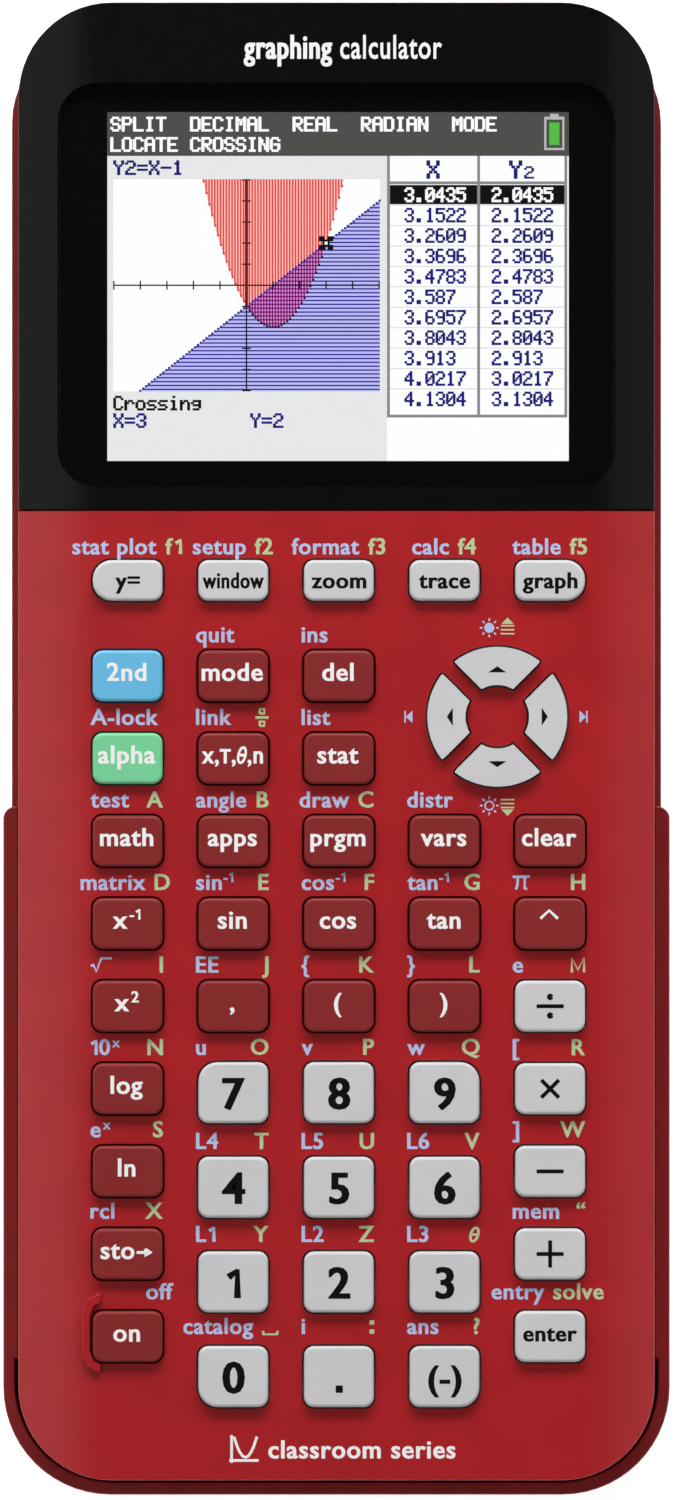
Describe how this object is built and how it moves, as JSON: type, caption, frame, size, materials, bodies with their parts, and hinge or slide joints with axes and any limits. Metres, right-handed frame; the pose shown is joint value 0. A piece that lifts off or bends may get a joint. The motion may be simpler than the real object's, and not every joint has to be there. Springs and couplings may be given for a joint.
{
  "type": "graphing calculator",
  "caption": "Handheld graphing calculator with a colour display, a full keypad, four arrow keys and a slide-on protective cover.",
  "frame": {"origin": "on the surface the calculator lies on, below the middle of the covered calculator", "axes": "+Z out of the key face, +Y towards the display end, +X to the right when read the right way up"},
  "size_m": [0.0842, 0.1884, 0.0174],
  "materials": {
    "red_shell": "satin injection-moulded, fine grain",
    "dark_red_shell": "satin injection-moulded, fine grain",
    "black_gloss": "polished",
    "window": "clear hard-coated pane with a black printed border",
    "panel_metal": "thin stamped frame of the display module",
    "silicone": "moulded silicone",
    "board": "green solder mask on glass-fibre board",
    "battery_wrap": "shrink-wrapped pack",
    "light_key": "fine satin",
    "dark_key": "fine satin",
    "blue_key": "fine satin",
    "green_key": "fine satin"
  },
  "bodies": {
    "calculator": {"front_housing": "red_shell", "display_bezel": "black_gloss", "display_window": "window", "display_panel": "panel_metal", "dome_sheet": "silicone", "circuit_board": "board", "back_housing": "dark_red_shell", "battery_cover": "dark_red_shell", "battery_pack": "battery_wrap"},
    "cover": {"slide_cover": "dark_red_shell"},
    "key_y_equals": {"key_y_equals": "light_key"},
    "key_window": {"key_window": "light_key"},
    "key_zoom": {"key_zoom": "light_key"},
    "key_trace": {"key_trace": "light_key"},
    "key_graph": {"key_graph": "light_key"},
    "key_second": {"key_second": "blue_key"},
    "key_alpha": {"key_alpha": "green_key"},
    "key_mode": {"key_mode": "dark_key"},
    "key_delete": {"key_delete": "dark_key"},
    "key_variable": {"key_variable": "dark_key"},
    "key_statistics": {"key_statistics": "dark_key"},
    "key_math": {"key_math": "dark_key"},
    "key_tools": {"key_tools": "dark_key"},
    "key_program": {"key_program": "dark_key"},
    "key_variables": {"key_variables": "dark_key"},
    "key_clear": {"key_clear": "dark_key"},
    "key_inverse": {"key_inverse": "dark_key"},
    "key_sin": {"key_sin": "dark_key"},
    "key_cos": {"key_cos": "dark_key"},
    "key_tan": {"key_tan": "dark_key"},
    "key_power": {"key_power": "dark_key"},
    "key_square": {"key_square": "dark_key"},
    "key_comma": {"key_comma": "dark_key"},
    "key_left_bracket": {"key_left_bracket": "dark_key"},
    "key_right_bracket": {"key_right_bracket": "dark_key"},
    "key_log": {"key_log": "dark_key"},
    "key_ln": {"key_ln": "dark_key"},
    "key_store": {"key_store": "dark_key"},
    "key_on": {"key_on": "dark_key"},
    "key_divide": {"key_divide": "light_key"},
    "key_multiply": {"key_multiply": "light_key"},
    "key_minus": {"key_minus": "light_key"},
    "key_plus": {"key_plus": "light_key"},
    "key_enter": {"key_enter": "light_key"},
    "key_7": {"key_7": "light_key"},
    "key_8": {"key_8": "light_key"},
    "key_9": {"key_9": "light_key"},
    "key_4": {"key_4": "light_key"},
    "key_5": {"key_5": "light_key"},
    "key_6": {"key_6": "light_key"},
    "key_1": {"key_1": "light_key"},
    "key_2": {"key_2": "light_key"},
    "key_3": {"key_3": "light_key"},
    "key_0": {"key_0": "light_key"},
    "key_point": {"key_point": "light_key"},
    "key_negative": {"key_negative": "light_key"},
    "key_right": {"key_right": "light_key"},
    "key_up": {"key_up": "light_key"},
    "key_left": {"key_left": "light_key"},
    "key_down": {"key_down": "light_key"}
  },
  "joints": [
    {"name": "cover_slide", "type": "slide", "parent": "calculator", "child": "cover", "axis": [0, -1, 0], "range_m": [0, 0.19]},
    {"name": "key_y_equals_press", "type": "slide", "parent": "calculator", "child": "key_y_equals", "axis": [0, 0, -1], "range_m": [0, 0.0009], "stiffness_N_per_m": 600, "deforming": ["dome_sheet"]},
    {"name": "key_window_press", "type": "slide", "parent": "calculator", "child": "key_window", "axis": [0, 0, -1], "range_m": [0, 0.0009], "stiffness_N_per_m": 600, "deforming": ["dome_sheet"]},
    {"name": "key_zoom_press", "type": "slide", "parent": "calculator", "child": "key_zoom", "axis": [0, 0, -1], "range_m": [0, 0.0009], "stiffness_N_per_m": 600, "deforming": ["dome_sheet"]},
    {"name": "key_trace_press", "type": "slide", "parent": "calculator", "child": "key_trace", "axis": [0, 0, -1], "range_m": [0, 0.0009], "stiffness_N_per_m": 600, "deforming": ["dome_sheet"]},
    {"name": "key_graph_press", "type": "slide", "parent": "calculator", "child": "key_graph", "axis": [0, 0, -1], "range_m": [0, 0.0009], "stiffness_N_per_m": 600, "deforming": ["dome_sheet"]},
    {"name": "key_second_press", "type": "slide", "parent": "calculator", "child": "key_second", "axis": [0, 0, -1], "range_m": [0, 0.0009], "stiffness_N_per_m": 600, "deforming": ["dome_sheet"]},
    {"name": "key_alpha_press", "type": "slide", "parent": "calculator", "child": "key_alpha", "axis": [0, 0, -1], "range_m": [0, 0.0009], "stiffness_N_per_m": 600, "deforming": ["dome_sheet"]},
    {"name": "key_mode_press", "type": "slide", "parent": "calculator", "child": "key_mode", "axis": [0, 0, -1], "range_m": [0, 0.0009], "stiffness_N_per_m": 600, "deforming": ["dome_sheet"]},
    {"name": "key_delete_press", "type": "slide", "parent": "calculator", "child": "key_delete", "axis": [0, 0, -1], "range_m": [0, 0.0009], "stiffness_N_per_m": 600, "deforming": ["dome_sheet"]},
    {"name": "key_variable_press", "type": "slide", "parent": "calculator", "child": "key_variable", "axis": [0, 0, -1], "range_m": [0, 0.0009], "stiffness_N_per_m": 600, "deforming": ["dome_sheet"]},
    {"name": "key_statistics_press", "type": "slide", "parent": "calculator", "child": "key_statistics", "axis": [0, 0, -1], "range_m": [0, 0.0009], "stiffness_N_per_m": 600, "deforming": ["dome_sheet"]},
    {"name": "key_math_press", "type": "slide", "parent": "calculator", "child": "key_math", "axis": [0, 0, -1], "range_m": [0, 0.0009], "stiffness_N_per_m": 600, "deforming": ["dome_sheet"]},
    {"name": "key_tools_press", "type": "slide", "parent": "calculator", "child": "key_tools", "axis": [0, 0, -1], "range_m": [0, 0.0009], "stiffness_N_per_m": 600, "deforming": ["dome_sheet"]},
    {"name": "key_program_press", "type": "slide", "parent": "calculator", "child": "key_program", "axis": [0, 0, -1], "range_m": [0, 0.0009], "stiffness_N_per_m": 600, "deforming": ["dome_sheet"]},
    {"name": "key_variables_press", "type": "slide", "parent": "calculator", "child": "key_variables", "axis": [0, 0, -1], "range_m": [0, 0.0009], "stiffness_N_per_m": 600, "deforming": ["dome_sheet"]},
    {"name": "key_clear_press", "type": "slide", "parent": "calculator", "child": "key_clear", "axis": [0, 0, -1], "range_m": [0, 0.0009], "stiffness_N_per_m": 600, "deforming": ["dome_sheet"]},
    {"name": "key_inverse_press", "type": "slide", "parent": "calculator", "child": "key_inverse", "axis": [0, 0, -1], "range_m": [0, 0.0009], "stiffness_N_per_m": 600, "deforming": ["dome_sheet"]},
    {"name": "key_sin_press", "type": "slide", "parent": "calculator", "child": "key_sin", "axis": [0, 0, -1], "range_m": [0, 0.0009], "stiffness_N_per_m": 600, "deforming": ["dome_sheet"]},
    {"name": "key_cos_press", "type": "slide", "parent": "calculator", "child": "key_cos", "axis": [0, 0, -1], "range_m": [0, 0.0009], "stiffness_N_per_m": 600, "deforming": ["dome_sheet"]},
    {"name": "key_tan_press", "type": "slide", "parent": "calculator", "child": "key_tan", "axis": [0, 0, -1], "range_m": [0, 0.0009], "stiffness_N_per_m": 600, "deforming": ["dome_sheet"]},
    {"name": "key_power_press", "type": "slide", "parent": "calculator", "child": "key_power", "axis": [0, 0, -1], "range_m": [0, 0.0009], "stiffness_N_per_m": 600, "deforming": ["dome_sheet"]},
    {"name": "key_square_press", "type": "slide", "parent": "calculator", "child": "key_square", "axis": [0, 0, -1], "range_m": [0, 0.0009], "stiffness_N_per_m": 600, "deforming": ["dome_sheet"]},
    {"name": "key_comma_press", "type": "slide", "parent": "calculator", "child": "key_comma", "axis": [0, 0, -1], "range_m": [0, 0.0009], "stiffness_N_per_m": 600, "deforming": ["dome_sheet"]},
    {"name": "key_left_bracket_press", "type": "slide", "parent": "calculator", "child": "key_left_bracket", "axis": [0, 0, -1], "range_m": [0, 0.0009], "stiffness_N_per_m": 600, "deforming": ["dome_sheet"]},
    {"name": "key_right_bracket_press", "type": "slide", "parent": "calculator", "child": "key_right_bracket", "axis": [0, 0, -1], "range_m": [0, 0.0009], "stiffness_N_per_m": 600, "deforming": ["dome_sheet"]},
    {"name": "key_log_press", "type": "slide", "parent": "calculator", "child": "key_log", "axis": [0, 0, -1], "range_m": [0, 0.0009], "stiffness_N_per_m": 600, "deforming": ["dome_sheet"]},
    {"name": "key_ln_press", "type": "slide", "parent": "calculator", "child": "key_ln", "axis": [0, 0, -1], "range_m": [0, 0.0009], "stiffness_N_per_m": 600, "deforming": ["dome_sheet"]},
    {"name": "key_store_press", "type": "slide", "parent": "calculator", "child": "key_store", "axis": [0, 0, -1], "range_m": [0, 0.0009], "stiffness_N_per_m": 600, "deforming": ["dome_sheet"]},
    {"name": "key_on_press", "type": "slide", "parent": "calculator", "child": "key_on", "axis": [0, 0, -1], "range_m": [0, 0.0009], "stiffness_N_per_m": 600, "deforming": ["dome_sheet"]},
    {"name": "key_divide_press", "type": "slide", "parent": "calculator", "child": "key_divide", "axis": [0, 0, -1], "range_m": [0, 0.0009], "stiffness_N_per_m": 600, "deforming": ["dome_sheet"]},
    {"name": "key_multiply_press", "type": "slide", "parent": "calculator", "child": "key_multiply", "axis": [0, 0, -1], "range_m": [0, 0.0009], "stiffness_N_per_m": 600, "deforming": ["dome_sheet"]},
    {"name": "key_minus_press", "type": "slide", "parent": "calculator", "child": "key_minus", "axis": [0, 0, -1], "range_m": [0, 0.0009], "stiffness_N_per_m": 600, "deforming": ["dome_sheet"]},
    {"name": "key_plus_press", "type": "slide", "parent": "calculator", "child": "key_plus", "axis": [0, 0, -1], "range_m": [0, 0.0009], "stiffness_N_per_m": 600, "deforming": ["dome_sheet"]},
    {"name": "key_enter_press", "type": "slide", "parent": "calculator", "child": "key_enter", "axis": [0, 0, -1], "range_m": [0, 0.0009], "stiffness_N_per_m": 600, "deforming": ["dome_sheet"]},
    {"name": "key_7_press", "type": "slide", "parent": "calculator", "child": "key_7", "axis": [0, 0, -1], "range_m": [0, 0.0009], "stiffness_N_per_m": 600, "deforming": ["dome_sheet"]},
    {"name": "key_8_press", "type": "slide", "parent": "calculator", "child": "key_8", "axis": [0, 0, -1], "range_m": [0, 0.0009], "stiffness_N_per_m": 600, "deforming": ["dome_sheet"]},
    {"name": "key_9_press", "type": "slide", "parent": "calculator", "child": "key_9", "axis": [0, 0, -1], "range_m": [0, 0.0009], "stiffness_N_per_m": 600, "deforming": ["dome_sheet"]},
    {"name": "key_4_press", "type": "slide", "parent": "calculator", "child": "key_4", "axis": [0, 0, -1], "range_m": [0, 0.0009], "stiffness_N_per_m": 600, "deforming": ["dome_sheet"]},
    {"name": "key_5_press", "type": "slide", "parent": "calculator", "child": "key_5", "axis": [0, 0, -1], "range_m": [0, 0.0009], "stiffness_N_per_m": 600, "deforming": ["dome_sheet"]},
    {"name": "key_6_press", "type": "slide", "parent": "calculator", "child": "key_6", "axis": [0, 0, -1], "range_m": [0, 0.0009], "stiffness_N_per_m": 600, "deforming": ["dome_sheet"]},
    {"name": "key_1_press", "type": "slide", "parent": "calculator", "child": "key_1", "axis": [0, 0, -1], "range_m": [0, 0.0009], "stiffness_N_per_m": 600, "deforming": ["dome_sheet"]},
    {"name": "key_2_press", "type": "slide", "parent": "calculator", "child": "key_2", "axis": [0, 0, -1], "range_m": [0, 0.0009], "stiffness_N_per_m": 600, "deforming": ["dome_sheet"]},
    {"name": "key_3_press", "type": "slide", "parent": "calculator", "child": "key_3", "axis": [0, 0, -1], "range_m": [0, 0.0009], "stiffness_N_per_m": 600, "deforming": ["dome_sheet"]},
    {"name": "key_0_press", "type": "slide", "parent": "calculator", "child": "key_0", "axis": [0, 0, -1], "range_m": [0, 0.0009], "stiffness_N_per_m": 600, "deforming": ["dome_sheet"]},
    {"name": "key_point_press", "type": "slide", "parent": "calculator", "child": "key_point", "axis": [0, 0, -1], "range_m": [0, 0.0009], "stiffness_N_per_m": 600, "deforming": ["dome_sheet"]},
    {"name": "key_negative_press", "type": "slide", "parent": "calculator", "child": "key_negative", "axis": [0, 0, -1], "range_m": [0, 0.0009], "stiffness_N_per_m": 600, "deforming": ["dome_sheet"]},
    {"name": "key_right_press", "type": "slide", "parent": "calculator", "child": "key_right", "axis": [0, 0, -1], "range_m": [0, 0.0009], "stiffness_N_per_m": 600, "deforming": ["dome_sheet"]},
    {"name": "key_up_press", "type": "slide", "parent": "calculator", "child": "key_up", "axis": [0, 0, -1], "range_m": [0, 0.0009], "stiffness_N_per_m": 600, "deforming": ["dome_sheet"]},
    {"name": "key_left_press", "type": "slide", "parent": "calculator", "child": "key_left", "axis": [0, 0, -1], "range_m": [0, 0.0009], "stiffness_N_per_m": 600, "deforming": ["dome_sheet"]},
    {"name": "key_down_press", "type": "slide", "parent": "calculator", "child": "key_down", "axis": [0, 0, -1], "range_m": [0, 0.0009], "stiffness_N_per_m": 600, "deforming": ["dome_sheet"]}
  ]
}
